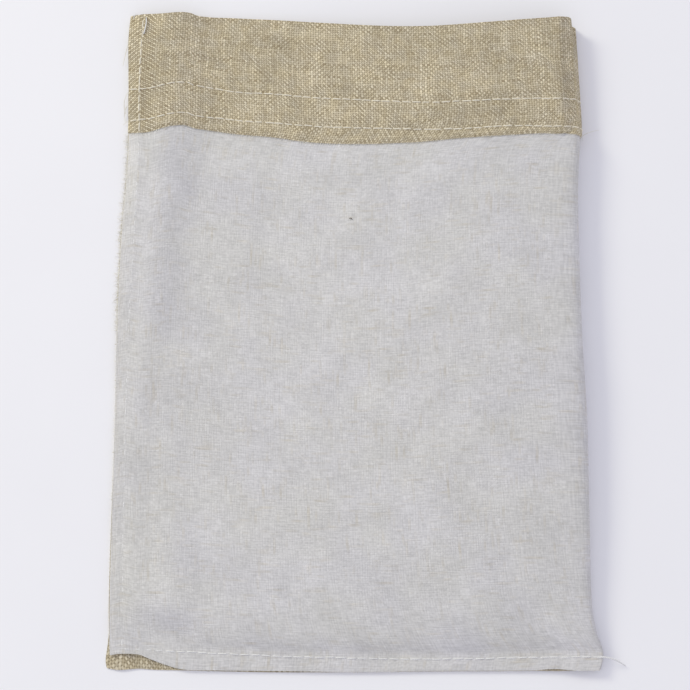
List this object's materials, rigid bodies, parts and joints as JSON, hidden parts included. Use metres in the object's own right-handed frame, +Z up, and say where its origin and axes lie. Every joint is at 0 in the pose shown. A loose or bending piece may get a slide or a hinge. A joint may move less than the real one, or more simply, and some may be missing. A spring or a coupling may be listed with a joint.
{
  "type": "linen drawstring pouch",
  "caption": "Empty linen drawstring pouch lying flat, turned inside out: coated cloth folded along one side, sewn up the other side and the bottom, with a deep turned hem at the open mouth.",
  "frame": {"origin": "on the surface that the pouch lies on, under the middle of its box", "axes": "+Y towards the mouth, +Z up out of the front, +X towards the folded side"},
  "size_m": [0.1507, 0.2131, 0.0097],
  "materials": {
    "coated_linen": "pale grey coating on tan woven linen",
    "sewing_thread": "off-white spun thread"
  },
  "bodies": {
    "root": {"pouch_cloth": "coated_linen"}
  },
  "joints": []
}
